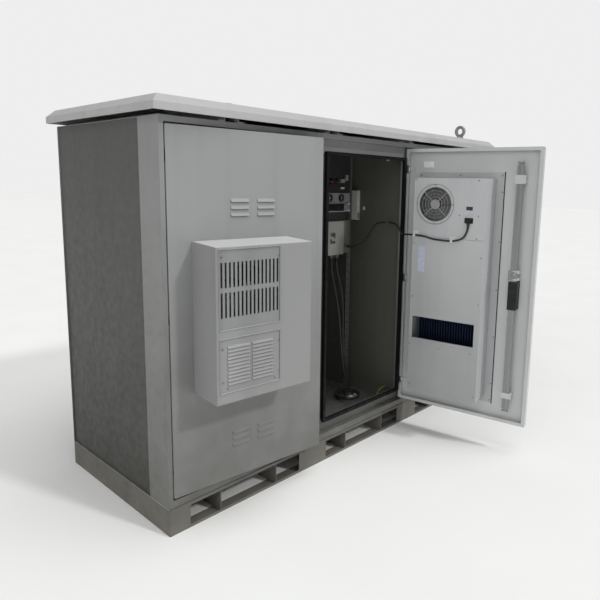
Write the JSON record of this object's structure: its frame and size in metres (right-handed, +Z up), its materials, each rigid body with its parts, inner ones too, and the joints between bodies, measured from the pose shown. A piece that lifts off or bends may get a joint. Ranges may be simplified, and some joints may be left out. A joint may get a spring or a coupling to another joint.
{
  "type": "outdoor electrical distribution cabinet",
  "caption": "Wide outdoor electrical cabinet with hinged doors in bays under one roof, a hooded fan unit, a door heat exchanger and an equipment rack inside.",
  "frame": {"origin": "floor level, centre of the four anchor holes", "axes": "+Z up, +X along the front to the right, front face towards -Y"},
  "size_m": [2.492, 1.6178, 1.776],
  "materials": {
    "paint_grey": "satin powder coat",
    "plinth_paint": "satin powder coat, dusty",
    "floor_steel": "zinc plated",
    "seal_rubber": "matt",
    "lifting_steel": "zinc plated",
    "unit_paint": "satin paint",
    "tray_paint": "satin paint",
    "black_paint": "matt paint",
    "black_plastic": "matt",
    "handle_metal": "satin chrome",
    "rod_steel": "zinc plated",
    "core_blue": "coated fins",
    "red_plastic": "gloss",
    "white_plastic": "matt",
    "cable_black": "matt",
    "earth_cable": "matt"
  },
  "bodies": {
    "cabinet": {"plinth": "plinth_paint", "floor_plate": "floor_steel", "front_frame": "paint_grey", "corner_posts": "paint_grey", "side_panels": "paint_grey", "rear_frame": "paint_grey", "rear_covers": "paint_grey", "top_plate": "paint_grey", "roof_rails": "paint_grey", "roof_canopy": "paint_grey", "lifting_eyes": "lifting_steel", "partitions": "paint_grey", "door_seals": "seal_rubber", "hinge_brackets": "floor_steel", "hinge_pins": "floor_steel", "rack_posts": "floor_steel", "breaker_panel": "unit_paint", "fan_tray": "tray_paint", "control_unit": "tray_paint", "blank_panel": "black_paint", "distribution_box": "unit_paint", "distribution_cover": "unit_paint", "cable_duct": "white_plastic", "box_cables": "cable_black", "cabinet_lead": "cable_black", "hinge_lead": "cable_black", "earth_wire": "earth_cable"},
    "left_door": {"left_door": "paint_grey", "left_handle_base": "black_plastic", "hood": "paint_grey", "hood_grille": "paint_grey", "hood_louvres": "paint_grey"},
    "middle_door": {"middle_door": "paint_grey", "middle_handle_base": "black_plastic", "exchanger_housing": "unit_paint", "exchanger_upper_cover": "unit_paint", "exchanger_lower_cover": "unit_paint", "exchanger_fan_guard": "black_plastic", "exchanger_core": "core_blue", "control_socket": "black_plastic", "door_lead": "cable_black", "cable_clips": "white_plastic"},
    "right_door": {"right_door": "paint_grey", "right_handle_base": "black_plastic"},
    "left_handle": {"left_handle": "handle_metal"},
    "left_upper_rod": {"left_upper_rod": "rod_steel"},
    "left_lower_rod": {"left_lower_rod": "rod_steel"},
    "middle_handle": {"middle_handle": "handle_metal"},
    "middle_upper_rod": {"middle_upper_rod": "rod_steel"},
    "middle_lower_rod": {"middle_lower_rod": "rod_steel"},
    "right_handle": {"right_handle": "handle_metal"},
    "right_upper_rod": {"right_upper_rod": "rod_steel"},
    "right_lower_rod": {"right_lower_rod": "rod_steel"},
    "hood_fan": {"hood_fan": "black_plastic"},
    "exchanger_fan": {"exchanger_fan": "black_plastic"},
    "tray_fan_1": {"tray_fan_1": "black_plastic"},
    "tray_fan_2": {"tray_fan_2": "black_plastic"},
    "breaker_toggle_1": {"breaker_toggle_1": "red_plastic"},
    "breaker_toggle_2": {"breaker_toggle_2": "red_plastic"},
    "main_switch": {"main_switch": "black_plastic"}
  },
  "joints": [
    {"name": "left_door_hinge", "type": "hinge", "parent": "cabinet", "child": "left_door", "pos_m": [-1.161, -0.425, 0.876], "axis": [0, 0, -1], "range_deg": [-6, 94]},
    {"name": "middle_door_hinge", "type": "hinge", "parent": "cabinet", "child": "middle_door", "pos_m": [0.361, -0.425, 0.876], "axis": [0, 0, 1], "range_deg": [-99, 6], "deforming": ["hinge_lead"]},
    {"name": "right_door_hinge", "type": "hinge", "parent": "cabinet", "child": "right_door", "pos_m": [1.161, -0.425, 0.876], "axis": [0, 0, 1], "range_deg": [0, 100]},
    {"name": "left_handle_turn", "type": "hinge", "parent": "left_door", "child": "left_handle", "pos_m": [-0.5345, -0.5009, 0.848], "axis": [0.1045, 0.9945, 0], "range_deg": [0, 90]},
    {"name": "left_upper_rod_slide", "type": "slide", "parent": "left_door", "child": "left_upper_rod", "axis": [0, 0, 1], "range_m": [0, 0.022]},
    {"name": "left_lower_rod_slide", "type": "slide", "parent": "left_door", "child": "left_lower_rod", "axis": [0, 0, -1], "range_m": [0, 0.022]},
    {"name": "middle_handle_turn", "type": "hinge", "parent": "middle_door", "child": "middle_handle", "pos_m": [0.46959, -1.04667, 0.848], "axis": [0.9877, 0.1564, 0], "range_deg": [0, 90]},
    {"name": "middle_upper_rod_slide", "type": "slide", "parent": "middle_door", "child": "middle_upper_rod", "axis": [0, 0, 1], "range_m": [0, 0.022]},
    {"name": "middle_lower_rod_slide", "type": "slide", "parent": "middle_door", "child": "middle_lower_rod", "axis": [0, 0, -1], "range_m": [0, 0.022]},
    {"name": "right_handle_turn", "type": "hinge", "parent": "right_door", "child": "right_handle", "pos_m": [0.53, -0.435, 0.848], "axis": [0, -1, 0], "range_deg": [0, 90]},
    {"name": "right_upper_rod_slide", "type": "slide", "parent": "right_door", "child": "right_upper_rod", "axis": [0, 0, 1], "range_m": [0, 0.022]},
    {"name": "right_lower_rod_slide", "type": "slide", "parent": "right_door", "child": "right_lower_rod", "axis": [0, 0, -1], "range_m": [0, 0.022]},
    {"name": "hood_fan_spin", "type": "hinge", "parent": "left_door", "child": "hood_fan", "pos_m": [-0.94446, -0.59859, 1.004], "axis": [-0.1045, -0.9945, 0], "continuous": true},
    {"name": "exchanger_fan_spin", "type": "hinge", "parent": "middle_door", "child": "exchanger_fan", "pos_m": [0.27783, -0.66699, 1.305], "axis": [-0.9877, -0.1564, 0], "continuous": true},
    {"name": "tray_fan_1_spin", "type": "hinge", "parent": "cabinet", "child": "tray_fan_1", "pos_m": [0.066, -0.08, 1.3215], "axis": [0, -1, 0], "continuous": true},
    {"name": "tray_fan_2_spin", "type": "hinge", "parent": "cabinet", "child": "tray_fan_2", "pos_m": [0.165, -0.08, 1.3215], "axis": [0, -1, 0], "continuous": true},
    {"name": "breaker_toggle_1_tilt", "type": "hinge", "parent": "cabinet", "child": "breaker_toggle_1", "pos_m": [0.072, -0.082, 1.418], "axis": [-1, 0, 0], "range_deg": [0, 50]},
    {"name": "breaker_toggle_2_tilt", "type": "hinge", "parent": "cabinet", "child": "breaker_toggle_2", "pos_m": [0.118, -0.082, 1.418], "axis": [-1, 0, 0], "range_deg": [0, 50]},
    {"name": "main_switch_tilt", "type": "hinge", "parent": "cabinet", "child": "main_switch", "pos_m": [0.059, -0.112, 1.095], "axis": [-1, 0, 0], "range_deg": [0, 70]}
  ],
  "couplings": [
    {"joint": "left_upper_rod_slide", "follows": "left_handle_turn", "m_per_rad": 0.014006},
    {"joint": "left_lower_rod_slide", "follows": "left_handle_turn", "m_per_rad": 0.014006},
    {"joint": "middle_upper_rod_slide", "follows": "middle_handle_turn", "m_per_rad": 0.014006},
    {"joint": "middle_lower_rod_slide", "follows": "middle_handle_turn", "m_per_rad": 0.014006},
    {"joint": "right_upper_rod_slide", "follows": "right_handle_turn", "m_per_rad": 0.014006},
    {"joint": "right_lower_rod_slide", "follows": "right_handle_turn", "m_per_rad": 0.014006}
  ]
}
